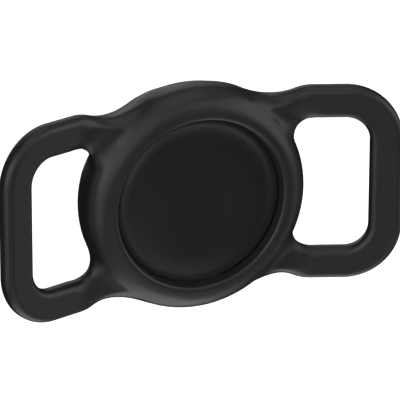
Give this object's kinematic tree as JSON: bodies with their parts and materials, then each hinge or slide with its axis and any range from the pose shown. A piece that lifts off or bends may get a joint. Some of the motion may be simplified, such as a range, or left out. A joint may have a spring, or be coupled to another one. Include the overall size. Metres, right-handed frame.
{
  "type": "tracker tag holder",
  "caption": "Domed silicone collar holder with a coin-shaped tracker tag in its cup and a bent strap loop on each side.",
  "frame": {"origin": "middle of the cup's flat outer face, which the holder lies on", "axes": "+Z out of the cup's mouth, +X along the holder towards one loop, +Y across the loops"},
  "size_m": [0.075, 0.0412, 0.015],
  "materials": {
    "silicone": "satin",
    "tag_shell": "fine satin",
    "cell_steel": "brushed",
    "contact_brass": "plated",
    "board_laminate": "solder mask",
    "chip_plastic": "moulded",
    "light_plastic": "moulded",
    "seal_rubber": "matt"
  },
  "bodies": {
    "holder": {"holder_cup": "silicone"},
    "left_strap_loop": {"left_loop": "silicone"},
    "right_strap_loop": {"right_loop": "silicone"},
    "tag": {"tag_face": "tag_shell", "face_bond": "seal_rubber", "tag_tray": "tag_shell", "door_gasket": "seal_rubber", "cell_can": "cell_steel", "cell_seal": "light_plastic", "cell_cap": "cell_steel", "cathode_pellet": "chip_plastic", "lithium_disc": "cell_steel", "plus_contacts": "contact_brass", "minus_contact": "contact_brass", "circuit_board": "board_laminate", "board_shield": "cell_steel", "main_chip": "chip_plastic", "radio_chip": "chip_plastic", "memory_chip": "chip_plastic", "motion_chip": "chip_plastic", "amplifier_chip": "chip_plastic", "board_crystal": "cell_steel", "board_capacitors": "light_plastic", "antenna_carrier": "light_plastic", "antenna_band": "contact_brass", "sounder_yoke": "cell_steel", "sounder_magnet": "cell_steel", "sounder_coil": "contact_brass"},
    "door": {"battery_door": "tag_shell", "cell_pad": "seal_rubber"}
  },
  "joints": [
    {"name": "left_loop_flex", "type": "hinge", "parent": "holder", "child": "left_strap_loop", "pos_m": [-0.022, 0, 0.0085], "axis": [0, 1, 0], "range_deg": [-25, 30], "stiffness_Nm_per_rad": 0.02},
    {"name": "right_loop_flex", "type": "hinge", "parent": "holder", "child": "right_strap_loop", "pos_m": [0.022, 0, 0.0085], "axis": [0, -1, 0], "range_deg": [-25, 30], "stiffness_Nm_per_rad": 0.02},
    {"name": "tag_turn", "type": "hinge", "parent": "holder", "child": "tag", "pos_m": [0, 0, 0.0072], "axis": [0, 0, 1], "continuous": true},
    {"name": "door_twist", "type": "hinge", "parent": "tag", "child": "door", "pos_m": [0, 0, 0.0032], "axis": [0, 0, 1], "range_deg": [0, 32]}
  ]
}
